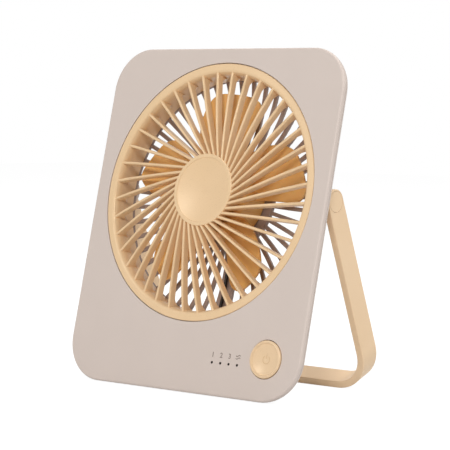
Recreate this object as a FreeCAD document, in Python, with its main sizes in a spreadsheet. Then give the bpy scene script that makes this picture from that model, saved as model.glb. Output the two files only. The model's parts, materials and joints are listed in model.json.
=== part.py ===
"""A portable camping fan: a flat leaning panel that holds a caged fan, held up by a swinging U stand.

Millimetres. The finished model stands on the plane Z = 0, faces -Y and leans back towards +Y. Three frames
are used while the pieces are made. In the face frame X runs right and Y up the front face, Z comes out of
it, and the origin is the middle of the bottom front edge, so a depth inside the fan is a negative Z. The
fan frame is the same with its origin on the fan's axis. In the stand frame X is the hinge and -Y runs down
the arms.
"""
import FreeCAD, Part
import math
import os

import Sketcher
from FreeCAD import Placement, Rotation, Vector

# Every driving size: its name in the sheet, its value, and what it measures.
SIZES = [
    ("lean_angle", 13.49, "panel's lean back from upright, degrees"),
    ("fold_angle", 35.24, "angle between the panel and the open stand, degrees"),
    ("panel_width", 170.5, "panel across"),
    ("panel_height", 200.0, "panel up its face"),
    ("panel_corner", 24.7, "corner radius of the panel"),
    ("front_round", 1.2, "rounding of the front rim"),
    ("back_round", 7.9, "rounding of the back rim"),
    ("slab_depth", 9.2, "depth of the thin part of the casing"),
    ("split_depth", 3.0, "depth at which the two shells meet"),
    ("seam_width", 0.35, "shadow gap between the shells"),
    ("seam_reach", 0.6, "how far the shadow gap goes in"),
    ("front_wall", 2.0, "thickness of the front face"),
    ("rim_wall", 3.4, "inset of the casing's hollow"),
    ("hollow_depth", 6.8, "depth of the hollow in the slab"),
    ("block_half", 75.2, "half the width of the raised block behind"),
    ("block_depth", 17.5, "depth of the raised block"),
    ("block_foot", 6.0, "height at which the raised block starts"),
    ("block_corner", 18.5, "corner radius of the raised block"),
    ("block_draft", 13.5, "draft of the raised block's sides, degrees"),
    ("chamber_half", 71.0, "half the width of the battery chamber"),
    ("chamber_low", 10.0, "bottom of the battery chamber"),
    ("chamber_high", 38.6, "top of the battery chamber"),
    ("chamber_depth", 15.6, "depth of the battery chamber"),
    ("chamber_corner", 13.0, "corner radius of the battery chamber"),
    ("fan_height", 115.55, "height of the fan's axis up the face"),
    ("ring_radius", 75.4, "outside radius of the grille's ring"),
    ("ring_gap", 0.4, "gap round the grille's ring"),
    ("ring_thick", 1.6, "thickness of the grille's flange"),
    ("mouth_radius", 1.8, "tight rounding where the ring turns into the duct"),
    ("mouth_turn", 50.0, "how far the tight rounding turns, degrees"),
    ("throat_radius", 6.0, "wide rounding that follows it down to the duct"),
    ("duct_radius", 69.0, "inside radius of the duct"),
    ("duct_wall", 1.9, "wall of the duct's front part"),
    ("duct_depth", 15.4, "depth of the grille's duct"),
    ("tail_wall", 1.3, "wall of the duct's rear part, which the guard's ring goes round"),
    ("tail_depth", 12.1, "depth at which the duct's wall steps in"),
    ("vane_count", 40, "vanes in the front grille"),
    ("vane_offset", 12.0, "how far each straight vane passes the axis"),
    ("vane_turn", 6.65, "turn of the first vane, degrees"),
    ("vane_rise", 3.9, "how proud the vanes stand at the centre"),
    ("vane_drop", 4.4, "how far a vane falls to the ring"),
    ("vane_inner", 15.2, "start of a vane, measured along it"),
    ("vane_outer", 69.6, "end of a vane, measured along it"),
    ("vane_front", 1.6, "vane's width at its front"),
    ("vane_back", 1.95, "vane's width at its back"),
    ("vane_depth", 4.3, "vane's depth"),
    ("foot_start", 60.6, "start of a vane's curved foot, measured along it"),
    ("foot_radius", 7.4, "radius of that foot"),
    ("boss_radius", 21.05, "radius of the grille's centre disc"),
    ("boss_rise", 4.2, "how proud the centre disc stands"),
    ("dish_radius", 18.7, "radius of the dish in the centre disc"),
    ("dish_depth", 1.7, "depth of that dish"),
    ("guard_count", 45, "spokes of the rear guard"),
    ("guard_turn", 3.4, "turn of its first spoke, degrees"),
    ("guard_flange", 73.0, "radius of the rear guard's flange"),
    ("guard_ring", 71.4, "outside radius of the rear guard's ring"),
    ("guard_sleeve", 70.45, "inside radius of that ring, round the duct"),
    ("guard_depth", 18.0, "depth of that ring"),
    ("spoke_width", 2.3, "spoke's width"),
    ("spoke_thick", 2.0, "spoke's thickness"),
    ("spoke_inner", 29.0, "start of the spokes"),
    ("spoke_outer", 70.2, "end of the spokes"),
    ("spoke_bulge", 8.6, "how far the guard bulges to the rear"),
    ("hub_radius", 30.4, "radius of the guard's hub"),
    ("hub_well", 24.4, "radius of the well in the guard's hub"),
    ("hub_face", 23.7, "depth of the hub's front face"),
    ("hub_depth", 27.0, "depth of the hub's back"),
    ("lead_angle", 279.4, "direction of the lead's rib, degrees"),
    ("lead_radius", 0.95, "radius of the motor's lead"),
    ("rotor_radius", 25.4, "radius of the impeller's hub"),
    ("rotor_front", 3.4, "depth of the impeller's front"),
    ("rotor_back", 22.4, "depth of the back of its hub"),
    ("stem_radius", 3.6, "radius of the stem that the shaft goes into"),
    ("blade_count", 5, "blades"),
    ("blade_turn", 15.0, "turn of the first blade, degrees"),
    ("blade_radius", 59.6, "radius of the blade tips"),
    ("blade_thick", 1.3, "thickness of a blade"),
    ("blade_chord", 60.0, "chord of the sheet that the blades are cut from"),
    ("blade_bow", 1.8, "how hollow that sheet is towards the front"),
    ("blade_level", 10.3, "depth of the sheet's chord"),
    ("blade_corner", 9.0, "rounding of a blade's corners at the tip"),
    ("shaft_radius", 1.5, "radius of the motor's shaft"),
    ("running_gap", 0.05, "radial clearance of a running fit"),
    ("can_radius", 19.5, "outside radius of the rotor can"),
    ("can_wall", 1.0, "wall of the rotor can"),
    ("can_front", 5.2, "depth of the can's front"),
    ("can_back", 17.4, "depth of the can's open end"),
    ("tube_radius", 4.4, "outside radius of the bearing tube"),
    ("bearing_radius", 3.4, "outside radius of a bearing"),
    ("bearing_length", 2.5, "length of a bearing"),
    ("base_radius", 24.0, "radius of the motor's base"),
    ("base_face", 23.3, "depth of the base's front face"),
    ("stator_teeth", 9, "teeth of the stator"),
    ("button_across", 61.6, "button's place across the face"),
    ("button_up", 23.6, "button's place up the face"),
    ("button_hole", 11.0, "radius of the button's hole"),
    ("button_radius", 10.6, "radius of the button"),
    ("button_rise", 1.2, "how proud the button's rim stands"),
    ("button_dish", 8.6, "radius of the button's dish"),
    ("dish_step", 0.9, "drop from the button's rim to the edge of its dish"),
    ("button_bowl", 1.0, "depth of the dish below its edge"),
    ("light_first", 24.3, "first indicator's place across the face"),
    ("light_pitch", 6.03, "distance between indicators"),
    ("light_up", 18.55, "indicators' place up the face"),
    ("light_radius", 0.8, "radius of an indicator's hole"),
    ("board_depth", 7.4, "depth of the main board's front"),
    ("board_thick", 1.2, "thickness of a circuit board"),
    ("pivot_up", 116.0, "stand hinge's place up the face"),
    ("pivot_depth", 16.6, "stand hinge's depth behind the face"),
    ("arm_face", 80.0, "outside face of an arm, from the middle"),
    ("strap_width", 14.0, "stand strap's width"),
    ("strap_thick", 4.35, "stand strap's thickness"),
    ("strap_length", 115.6, "hinge to the outside of the crossbar"),
    ("strap_bend", 23.5, "outside radius of the strap's bends"),
    ("strap_edge", 0.6, "rounding of the strap's edges"),
    ("cap_radius", 5.85, "radius of a pivot cap"),
    ("cap_thick", 1.0, "thickness of a pivot cap"),
    ("pin_radius", 2.5, "radius of a pivot pin"),
    ("ear_radius", 6.5, "radius of the casing's pivot ears"),
    ("ear_face", 75.0, "outside face of an ear, from the middle"),
    ("ear_inner", 71.9, "inside face of an ear, from the middle"),
    ("inlet_across", 34.0, "charging inlet's place across"),
    ("inlet_up", 26.0, "charging inlet's place up"),
    ("foot_middle", 44.0, "middle of a foot, from the middle"),
    ("foot_width", 30.0, "width of a foot"),
    ("foot_front", 4.2, "depth at which a foot starts"),
    ("foot_back", 8.8, "depth at which a foot ends"),
]

# Self-tapping screws that hold the two shells together, as places across and up the face.
SHELL_SCREWS = [(-70.0, 184.5), (70.0, 184.5), (-68.5, 52.0), (68.5, 52.0), (-76.6, 27.0), (76.6, 27.0)]
BOARD_SCREWS = [(17.5, 14.5), (17.5, 33.0), (44.0, 33.6)]
CELL_EDGES = (-62.0, -28.0)
BLADE_SPACE = 30.0
TINY = 1e-9


class Size:
    """A length with the sheet formula that gives it, so that sums of sizes stay bound to the sheet."""

    def __init__(self, value, formula):
        self.value = value
        self.formula = formula

    @staticmethod
    def of(number):
        if isinstance(number, Size):
            return number
        return Size(float(number), "%.6f" % number)

    def joined(self, other, sign, value):
        return Size(value, "(%s %s %s)" % (self.formula, sign, Size.of(other).formula))

    def __add__(self, other):
        return self.joined(other, "+", self.value + Size.of(other).value)

    def __sub__(self, other):
        return self.joined(other, "-", self.value - Size.of(other).value)

    def __mul__(self, other):
        return self.joined(other, "*", self.value * Size.of(other).value)

    def __truediv__(self, other):
        return self.joined(other, "/", self.value / Size.of(other).value)

    def __radd__(self, other):
        return Size.of(other) + self

    def __rsub__(self, other):
        return Size.of(other) - self

    def __rmul__(self, other):
        return Size.of(other) * self

    def __neg__(self):
        return Size(-self.value, "(0 - %s)" % self.formula)


class Sizes:
    """The sheet's sizes by name: d.panel_width is a Size bound to the cell of that name."""

    def __init__(self, doc):
        sheet = doc.addObject("Spreadsheet::Sheet", "dims")
        for row, (name, value, meaning) in enumerate(SIZES, start=1):
            sheet.set("A%d" % row, name)
            sheet.set("B%d" % row, str(value))
            sheet.set("C%d" % row, meaning)
            sheet.setAlias("B%d" % row, name)
            setattr(self, name, Size(float(value), "dims.%s" % name))
        doc.recompute()


doc = FreeCAD.newDocument("camping_fan")
d = Sizes(doc)
made = []


def value(size):
    return Size.of(size).value


def sine(angle):
    return math.sin(math.radians(value(angle)))


def cosine(angle):
    return math.cos(math.radians(value(angle)))


def sine_size(angle):
    """Sine of a size in degrees, still bound to the sheet."""
    return Size(sine(angle), "sin(%s * 1 deg)" % angle.formula)


def cosine_size(angle):
    """Cosine of a size in degrees, still bound to the sheet."""
    return Size(cosine(angle), "cos(%s * 1 deg)" % angle.formula)


# Where things stand: the ground is what the crossbar's lower edge touches.

def ground_drop():
    """Height of the panel's bottom front edge above the ground, from the open stand's reach."""
    swing = value(d.fold_angle) - value(d.lean_angle)
    pivot = value(d.pivot_up) * cosine(d.lean_angle) - value(d.pivot_depth) * sine(d.lean_angle)
    edge = value(d.strap_edge)
    reach = (value(d.strap_length) - edge) * cosine(swing)
    return reach + (value(d.strap_width) / 2 - edge) * sine(swing) + edge - pivot


def middle_depth():
    """How far the middle of the footprint lies behind the panel's bottom front edge."""
    swing = value(d.fold_angle) - value(d.lean_angle)
    round_front = value(d.front_round)
    front = round_front * (sine(d.lean_angle) + cosine(d.lean_angle) - 1)
    pivot = value(d.pivot_up) * sine(d.lean_angle) + value(d.pivot_depth) * cosine(d.lean_angle)
    edge = value(d.strap_edge)
    reach = (value(d.strap_length) - edge) * sine(swing)
    back = pivot + reach + (value(d.strap_width) / 2 - edge) * cosine(swing) + edge
    return (front + back) / 2


def on_face(across=0.0, up=0.0, depth=0.0, turn=0.0):
    """Placement of a face frame whose origin is moved, and turned about the face's normal."""
    tilt = Rotation(Vector(1, 0, 0), 90 - value(d.lean_angle))
    moved = tilt.multVec(Vector(value(across), value(up), -value(depth)))
    origin = Vector(0, -middle_depth(), ground_drop()) + moved
    return Placement(origin, tilt * Rotation(Vector(0, 0, 1), value(turn)))


def on_fan(turn=0.0):
    return on_face(up=d.fan_height, turn=turn)


def on_stand():
    hinge = on_face(up=d.pivot_up, depth=d.pivot_depth).Base
    swing = value(d.fold_angle) - value(d.lean_angle)
    return Placement(hinge, Rotation(Vector(1, 0, 0), 90 + swing))


# Sketching helpers.

def hold(sketch, geometry, point, across, up):
    """Fix one point of a sketch at two sizes."""
    for kind, size, axis in (("DistanceX", across, -2), ("DistanceY", up, -1)):
        size = Size.of(size)
        if abs(size.value) < TINY:
            sketch.addConstraint(Sketcher.Constraint("PointOnObject", geometry, point, axis))
        else:
            index = sketch.addConstraint(Sketcher.Constraint(kind, -1, 1, geometry, point, size.value))
            sketch.setExpression("Constraints[%d]" % index, size.formula)


def arc_between(start, end, radius):
    """The arc of under half a turn from start to end, anticlockwise if the radius is positive."""
    chord = end - start
    normal = Vector(-chord.y, chord.x, 0).normalize()
    height = math.sqrt(max(radius * radius - chord.Length ** 2 / 4, 0.0))
    centre = (start + end) * 0.5 + normal * math.copysign(height, radius)
    first, last = (start, end) if radius > 0 else (end, start)
    angles = [math.atan2(p.y - centre.y, p.x - centre.x) for p in (first, last)]
    if angles[1] < angles[0]:
        angles[1] += 2 * math.pi
    return Part.ArcOfCircle(Part.Circle(centre, Vector(0, 0, 1), abs(radius)), angles[0], angles[1])


def outline(sketch, corners):
    """A closed outline. A corner is its two sizes and, where an arc leaves it, that arc's radius."""
    ends = []
    for index, corner in enumerate(corners):
        after = corners[(index + 1) % len(corners)]
        start = Vector(value(corner[0]), value(corner[1]), 0)
        end = Vector(value(after[0]), value(after[1]), 0)
        if len(corner) == 2:
            geometry = sketch.addGeometry(Part.LineSegment(start, end))
            points = (1, 2)
        else:
            geometry = sketch.addGeometry(arc_between(start, end, value(corner[2])))
            points = (1, 2) if value(corner[2]) > 0 else (2, 1)
        ends.append((geometry, points))
    for index, (geometry, points) in enumerate(ends):
        before, before_points = ends[index - 1]
        sketch.addConstraint(Sketcher.Constraint("Coincident", before, before_points[1], geometry, points[0]))
        hold(sketch, geometry, points[0], corners[index][0], corners[index][1])
    for index, (geometry, points) in enumerate(ends):
        if len(corners[index]) == 3:
            radius = Size.of(corners[index][2])
            number = sketch.addConstraint(Sketcher.Constraint("Radius", geometry, abs(radius.value)))
            sketch.setExpression("Constraints[%d]" % number, "abs(%s)" % radius.formula)


def ring(sketch, across, up, radius):
    """A full circle."""
    centre = Vector(value(across), value(up), 0)
    geometry = sketch.addGeometry(Part.Circle(centre, Vector(0, 0, 1), value(radius)))
    hold(sketch, geometry, 3, across, up)
    number = sketch.addConstraint(Sketcher.Constraint("Radius", geometry, value(radius)))
    sketch.setExpression("Constraints[%d]" % number, Size.of(radius).formula)


def rounded_box(sketch, left, bottom, right, top, corner):
    """A rectangle with round corners."""
    outline(sketch, [
        (left + corner, bottom), (right - corner, bottom, corner),
        (right, bottom + corner), (right, top - corner, corner),
        (right - corner, top), (left + corner, top, corner),
        (left, top - corner), (left, bottom + corner, corner),
    ])


def box(sketch, left, bottom, right, top):
    outline(sketch, [(left, bottom), (right, bottom), (right, top), (left, top)])


# Feature helpers.

def new_body(label):
    body = doc.addObject("PartDesign::Body", label)
    body.Label = label
    return body


def new_sketch(body, lift=0.0, plane="XY_Plane"):
    """A sketch on one of the body's own planes, lifted along that plane's normal."""
    sketch = body.newObject("Sketcher::SketchObject", body.Label + "_sketch")
    support = [item for item in body.Origin.OriginFeatures if item.Role == plane][0]
    sketch.AttachmentSupport = [(support, "")]
    sketch.MapMode = "FlatFace"
    sketch.setExpression("AttachmentOffset.Base.z", Size.of(lift).formula)
    return sketch


def checked(feature, grows):
    """Recompute, and make sure that the feature added or removed material."""
    body = feature.getParentGeoFeatureGroup()
    before = body.Shape.Volume if not body.Shape.isNull() else 0.0
    doc.recompute()
    if "Invalid" in feature.State or "Error" in feature.State:
        raise RuntimeError("%s of %s failed" % (feature.Name, body.Label))
    change = body.Shape.Volume - before
    if (change > 0) != grows or abs(change) < TINY:
        raise RuntimeError("%s of %s changed the volume by %.3f" % (feature.Name, body.Label, change))
    return feature


def pad(sketch, length, down=True, both=False, draft=None):
    """Add a pad; down means away from the sketch's normal."""
    body = sketch.getParentGeoFeatureGroup()
    feature = body.newObject("PartDesign::Pad", body.Label + "_pad")
    feature.Profile = sketch
    feature.setExpression("Length", Size.of(length).formula)
    if both:
        feature.SideType = "Symmetric"
    else:
        feature.Reversed = down
    if draft is not None:
        feature.setExpression("TaperAngle", "-%s" % draft.formula)
    return checked(feature, True)


def pocket(sketch, length, up=False):
    """Cut a pocket; it goes against the sketch's normal unless up is set."""
    body = sketch.getParentGeoFeatureGroup()
    feature = body.newObject("PartDesign::Pocket", body.Label + "_pocket")
    feature.Profile = sketch
    feature.setExpression("Length", Size.of(length).formula)
    feature.Reversed = up
    return checked(feature, False)


def turned(sketch, cut=False):
    """Turn a sketch's outline once round the sketch's upright axis."""
    body = sketch.getParentGeoFeatureGroup()
    kind = "Groove" if cut else "Revolution"
    feature = body.newObject("PartDesign::" + kind, body.Label + "_turn")
    feature.Profile = sketch
    feature.ReferenceAxis = (sketch, ["V_Axis"])
    feature.Angle = 360.0
    return checked(feature, not cut)


def swept_round(sketch, centre_up, angle, backwards=False):
    """Carry a sketch's outline along an arc about a line across it at the height centre_up."""
    reach = 10.0
    body = sketch.getParentGeoFeatureGroup()
    start = Vector(-reach, value(centre_up), 0)
    end = Vector(reach, value(centre_up), 0)
    line = sketch.addGeometry(Part.LineSegment(start, end), True)
    sketch.addConstraint(Sketcher.Constraint("Horizontal", line))
    hold(sketch, line, 1, -reach, centre_up)
    feature = body.newObject("PartDesign::Revolution", body.Label + "_sweep")
    feature.Profile = sketch
    feature.ReferenceAxis = (sketch, ["Axis0"])
    feature.setExpression("Angle", Size.of(angle).formula)
    feature.Reversed = backwards
    return checked(feature, True)


def around(features, count):
    """Repeat features evenly round the body's Z axis."""
    body = features[0].getParentGeoFeatureGroup()
    pattern = body.newObject("PartDesign::PolarPattern", body.Label + "_pattern")
    pattern.Originals = features
    axis = [item for item in body.Origin.OriginFeatures if item.Role == "Z_Axis"][0]
    pattern.Axis = (axis, [""])
    pattern.Angle = 360.0
    pattern.setExpression("Occurrences", count.formula)
    body.Tip = pattern
    return checked(pattern, True)


def mirrored(feature):
    """Repeat a feature on the other side of the middle plane."""
    body = feature.getParentGeoFeatureGroup()
    pattern = body.newObject("PartDesign::Mirrored", body.Label + "_mirror")
    pattern.Originals = [feature]
    plane = [item for item in body.Origin.OriginFeatures if item.Role == "YZ_Plane"][0]
    pattern.MirrorPlane = (plane, [""])
    body.Tip = pattern
    doc.recompute()
    return pattern


def rounded(body, radius, chosen):
    """Round the edges of a body that a test picks out."""
    base = body.Tip
    names = ["Edge%d" % (number + 1) for number, edge in enumerate(base.Shape.Edges) if chosen(edge)]
    feature = body.newObject("PartDesign::Fillet", body.Label + "_round")
    feature.Base = (base, names)
    feature.setExpression("Radius", Size.of(radius).formula)
    body.Tip = feature
    return checked(feature, False)


def upright(edge):
    """True for an edge that runs along Z."""
    low, high = edge.BoundBox.ZMin, edge.BoundBox.ZMax
    return edge.BoundBox.XLength < 1e-6 and edge.BoundBox.YLength < 1e-6 and high - low > 1e-6


def level_at(depth):
    """A test for edges that lie flat at a depth behind the face."""
    height = -value(depth)
    return lambda edge: abs(edge.BoundBox.ZMin - height) < 1e-6 and abs(edge.BoundBox.ZMax - height) < 1e-6


def keep(item, placement):
    """Set a finished sub-part in its place and list it for writing out."""
    item.Placement = placement
    made.append(item)
    return item


def cylinder(name, radius, low, high, across=0.0, up=0.0):
    """A plain cylinder along Z between two levels."""
    item = doc.addObject("Part::Cylinder", name)
    item.setExpression("Radius", Size.of(radius).formula)
    item.setExpression("Height", (Size.of(high) - Size.of(low)).formula)
    item.setExpression("Placement.Base.x", Size.of(across).formula)
    item.setExpression("Placement.Base.y", Size.of(up).formula)
    item.setExpression("Placement.Base.z", Size.of(low).formula)
    return item


def block(name, left, bottom, low, right, top, high):
    """A plain box between two corners."""
    item = doc.addObject("Part::Box", name)
    item.setExpression("Length", (Size.of(right) - Size.of(left)).formula)
    item.setExpression("Width", (Size.of(top) - Size.of(bottom)).formula)
    item.setExpression("Height", (Size.of(high) - Size.of(low)).formula)
    item.setExpression("Placement.Base.x", Size.of(left).formula)
    item.setExpression("Placement.Base.y", Size.of(bottom).formula)
    item.setExpression("Placement.Base.z", Size.of(low).formula)
    return item


def cut(name, base, tool):
    item = doc.addObject("Part::Cut", name)
    item.Base = base
    item.Tool = tool
    return item


def grouped(name, items):
    """Several separate solids as one sub-part."""
    item = doc.addObject("Part::Compound", name)
    item.Links = items
    return item


# The casing.

def slab(body):
    """The full thin panel with its round corners and rims, from which each shell is cut."""
    half = d.panel_width / 2
    sketch = new_sketch(body)
    box(sketch, -half, 0.0, half, d.panel_height)
    pad(sketch, d.slab_depth)
    rounded(body, d.panel_corner, upright)
    rounded(body, d.front_round, level_at(0.0))
    rounded(body, d.back_round, level_at(d.slab_depth))


def cover_all(sketch):
    margin = 20.0
    half = d.panel_width / 2 + margin
    box(sketch, -half, -margin, half, d.panel_height + margin)


def front_shell():
    """Front face with the openings for the grille, the button and the four indicators."""
    rim_land = 2.6
    seat_gap = 0.1
    ledge = 0.8
    body = new_body("front_shell")
    slab(body)
    away = new_sketch(body, -d.split_depth)
    cover_all(away)
    pocket(away, d.slab_depth)
    hollow = new_sketch(body, -d.split_depth)
    half = d.panel_width / 2 - d.rim_wall
    rounded_box(hollow, -half, d.rim_wall, half, d.panel_height - d.rim_wall, d.panel_corner - d.rim_wall)
    ring(hollow, 0.0, d.fan_height, d.ring_radius + rim_land)
    pocket(hollow, d.split_depth - d.front_wall, up=True)
    screw_posts(body)
    seat = new_sketch(body)
    ring(seat, 0.0, d.fan_height, d.ring_radius + d.ring_gap)
    pocket(seat, d.ring_thick + seat_gap)
    opening = new_sketch(body)
    ring(opening, 0.0, d.fan_height, d.guard_flange - ledge)
    pocket(opening, d.slab_depth)
    holes = new_sketch(body)
    ring(holes, d.button_across, d.button_up, d.button_hole)
    for number in range(4):
        ring(holes, d.light_first + d.light_pitch * number, d.light_up, d.light_radius)
    pocket(holes, d.slab_depth)
    return keep(body, on_face())


def screw_posts(body):
    """Posts inside the front shell for the casing's screws and the main board's screws."""
    overlap = 0.5
    post_radius, post_end, pilot_radius, pilot_length = 3.2, 5.3, 1.2, 2.7
    support_radius, small_radius, small_length = 2.3, 0.8, 4.0
    posts = new_sketch(body, overlap - d.front_wall)
    for across, up in SHELL_SCREWS:
        ring(posts, across, up, post_radius)
    pad(posts, post_end - d.front_wall + overlap)
    supports = new_sketch(body, overlap - d.front_wall)
    for across, up in BOARD_SCREWS:
        ring(supports, across, up, support_radius)
    pad(supports, d.board_depth - d.front_wall + overlap)
    pilots = new_sketch(body, -post_end)
    for across, up in SHELL_SCREWS:
        ring(pilots, across, up, pilot_radius)
    pocket(pilots, pilot_length, up=True)
    small = new_sketch(body, -d.board_depth)
    for across, up in BOARD_SCREWS:
        ring(small, across, up, small_radius)
    pocket(small, small_length, up=True)


def rear_shell():
    """Back of the casing: thin rim, raised block with the battery chamber, fan bore and pivot ears."""
    inset = d.rim_wall + 0.8
    body = new_body("rear_shell")
    slab(body)
    away = new_sketch(body)
    cover_all(away)
    pocket(away, d.split_depth)
    seam_gap(body)
    raised_block(body)
    hollow = new_sketch(body, -d.split_depth)
    half = d.panel_width / 2 - inset
    rounded_box(hollow, -half, inset, half, d.panel_height - inset, d.panel_corner - inset)
    ring(hollow, 0.0, d.fan_height, d.block_half)
    pocket(hollow, d.hollow_depth - d.split_depth)
    chamber = new_sketch(body, -d.split_depth)
    rounded_box(chamber, -d.chamber_half, d.chamber_low, d.chamber_half, d.chamber_high, d.chamber_corner)
    pocket(chamber, d.chamber_depth - d.split_depth)
    rear_screw_seats(body)
    pivot_ears(body)
    fan_bore(body)
    rear_openings(body)
    return keep(body, on_face())


def seam_gap(body):
    """The fine shadow line where the two shells meet."""
    sketch = new_sketch(body, -d.split_depth)
    margin = 10.0
    half = d.panel_width / 2
    box(sketch, -half - margin, -margin, half + margin, d.panel_height + margin)
    reach = d.seam_reach
    rounded_box(sketch, reach - half, reach, half - reach, d.panel_height - reach, d.panel_corner - reach)
    pocket(sketch, d.seam_width)


def raised_block(body):
    """Arch-shaped block behind the slab: half round about the fan, straight down to its foot."""
    start = 1.0
    back_edge = 1.6
    half = d.block_half
    corner = d.block_corner
    foot = d.block_foot
    sketch = new_sketch(body, start - d.slab_depth)
    outline(sketch, [
        (corner - half, foot), (half - corner, foot, corner),
        (half, foot + corner), (half, d.fan_height, half),
        (0.0, d.fan_height + half, half), (-half, d.fan_height),
        (-half, foot + corner, corner),
    ])
    pad(sketch, d.block_depth - d.slab_depth + start, draft=d.block_draft)
    rounded(body, back_edge, level_at(d.block_depth))


def rear_screw_seats(body):
    """Tubes that the casing's screws pass through, sunk from the back."""
    tube_front, tube_radius, tube_length = 5.4, 4.4, 2.6
    seat_depth, sink_radius, shank_radius, shank_front = 7.6, 3.0, 1.6, 5.0
    beyond = 4.0
    tubes = new_sketch(body, -tube_front)
    for across, up in SHELL_SCREWS:
        ring(tubes, across, up, tube_radius)
    pad(tubes, tube_length)
    sinks = new_sketch(body, -seat_depth)
    for across, up in SHELL_SCREWS:
        ring(sinks, across, up, sink_radius)
    pocket(sinks, d.block_depth - seat_depth + beyond)
    shanks = new_sketch(body, -shank_front)
    for across, up in SHELL_SCREWS:
        ring(shanks, across, up, shank_radius)
    pocket(shanks, beyond)


def pivot_ears(body):
    """Ears on both sides of the block that carry the stand's pins."""
    root = -8.0
    margin = 5.0
    sketch = new_sketch(body, d.ear_inner, plane="YZ_Plane")
    low = d.pivot_up - d.ear_radius
    high = d.pivot_up + d.ear_radius
    outline(sketch, [
        (low, -d.pivot_depth, d.ear_radius), (d.pivot_up, -d.pivot_depth - d.ear_radius, d.ear_radius),
        (high, -d.pivot_depth), (high, root), (low, root),
    ])
    mirrored(pad(sketch, d.ear_face - d.ear_inner, down=False))
    hole = new_sketch(body, -d.block_half - margin, plane="YZ_Plane")
    ring(hole, d.pivot_up, -d.pivot_depth, d.pin_radius)
    pocket(hole, 2 * (d.block_half + margin), up=True)


def fan_bore(body):
    """Stepped bore for the duct and the rear guard."""
    start = 1.0 - d.split_depth
    step_depth = 13.6
    wide = new_sketch(body, start)
    ring(wide, 0.0, d.fan_height, d.guard_flange + 0.1)
    pocket(wide, start + step_depth)
    narrow = new_sketch(body, -d.split_depth)
    ring(narrow, 0.0, d.fan_height, d.guard_ring + 0.2)
    pocket(narrow, d.block_depth)


def rear_openings(body):
    """The charging inlet's slot, and the notch by which the motor's lead reaches the chamber."""
    half_width, half_height, corner, slot_depth = 4.9, 2.1, Size.of(2.0), 5.0
    notch_left, notch_right, notch_top, notch_front, notch_depth = 10.2, 14.6, 46.0, 12.0, 4.2
    slot = new_sketch(body, -d.block_depth - 1.0)
    rounded_box(slot, d.inlet_across - half_width, d.inlet_up - half_height,
                d.inlet_across + half_width, d.inlet_up + half_height, corner)
    pocket(slot, slot_depth, up=True)
    notch = new_sketch(body, -notch_front)
    box(notch, notch_left, d.chamber_high - 2.0, notch_right, notch_top)
    pocket(notch, notch_depth)


def rubber_feet():
    """Two soft feet under the back of the panel's bottom edge, flat on the ground."""
    below, above, ground_size, ground_thick = -3.0, 4.2, 100.0, 20.0
    form = new_body("slab_form")
    slab(form)
    form.Placement = on_face()
    feet = []
    for side in (-1, 1):
        left = d.foot_middle * side - d.foot_width / 2
        blank = block("foot_blank", left, below, -d.foot_back, left + d.foot_width, above, -d.foot_front)
        doc.recompute()
        blank.setExpression("Placement.Base.x", None)
        blank.setExpression("Placement.Base.y", None)
        blank.setExpression("Placement.Base.z", None)
        blank.Placement = on_face().multiply(blank.Placement)
        ground = block("ground", -ground_size, -ground_size, -ground_thick, ground_size, ground_size, 0.0)
        feet.append(cut("foot_shaped", cut("foot_level", blank, ground), form))
    return keep(grouped("rubber_feet", feet), Placement())


def shell_screws():
    """Six pan-head screws from the back."""
    tip, seat, top = -2.7, -7.6, -9.2
    slot_reach, slot_half, slot_depth = 1.7, 0.35, 0.6
    screws = []
    for across, up in SHELL_SCREWS:
        shank = cylinder("screw_shank", 1.2, seat, tip, across, up)
        head = cylinder("screw_head", 2.7, top, seat, across, up)
        socket = block("screw_slot", across - slot_reach, up - slot_half, top - 0.1,
                       across + slot_reach, up + slot_half, top + slot_depth)
        whole = doc.addObject("Part::MultiFuse", "screw_whole")
        whole.Shapes = [shank, head]
        screws.append(cut("screw", whole, socket))
    return keep(grouped("shell_screws", screws), on_face())


# The front grille and the rear guard.

def front_grille():
    """One moulding: flange ring, duct, forty straight vanes tangent to a small circle, centre disc."""
    body = new_body("front_grille")
    ring_and_duct(body)
    vane = swept_round(*vane_section(body))
    around([vane, vane_foot(body)], d.vane_count)
    centre_disc(body)
    notch = new_sketch(body, -d.duct_depth - 1.0)
    radial_slot(notch, d.duct_radius - 1.0, d.duct_radius + d.duct_wall, 3.0, d.lead_angle - d.vane_turn)
    pocket(notch, 3.1, up=True)
    return keep(body, on_fan(d.vane_turn))


def radial_slot(sketch, inner, outer, width, angle):
    """The outline of a straight slot that runs outwards at an angle."""
    along = cosine_size(angle)
    rise = sine_size(angle)
    half = width / 2
    corners = ((inner, -half), (outer, -half), (outer, half), (inner, half))
    outline(sketch, [(reach * along - side * rise, reach * rise + side * along) for reach, side in corners])


def ring_and_duct(body):
    """The ring's section turned round: flat face, mouth of two joined arcs, stepped duct, flange."""
    section = new_sketch(body, plane="XZ_Plane")
    edge = 0.5
    outer = d.duct_radius + d.duct_wall
    sine_part = sine_size(d.mouth_turn)
    cosine_part = cosine_size(d.mouth_turn)
    step = d.throat_radius - d.mouth_radius
    throat = -d.mouth_radius - step * cosine_part
    join_in = d.duct_radius + d.throat_radius * (1.0 - sine_part)
    join_down = throat + d.throat_radius * cosine_part
    mouth = join_in + d.mouth_radius * sine_part
    tail = d.duct_radius + d.tail_wall
    outline(section, [
        (d.duct_radius, -d.duct_depth), (tail, -d.duct_depth), (tail, -d.tail_depth),
        (outer, -d.tail_depth), (outer, -d.ring_thick),
        (d.ring_radius, -d.ring_thick), (d.ring_radius, -edge, Size.of(edge)), (d.ring_radius - edge, 0.0),
        (mouth, 0.0, d.mouth_radius), (join_in, join_down, d.throat_radius), (d.duct_radius, throat),
    ])
    turned(section)


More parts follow.
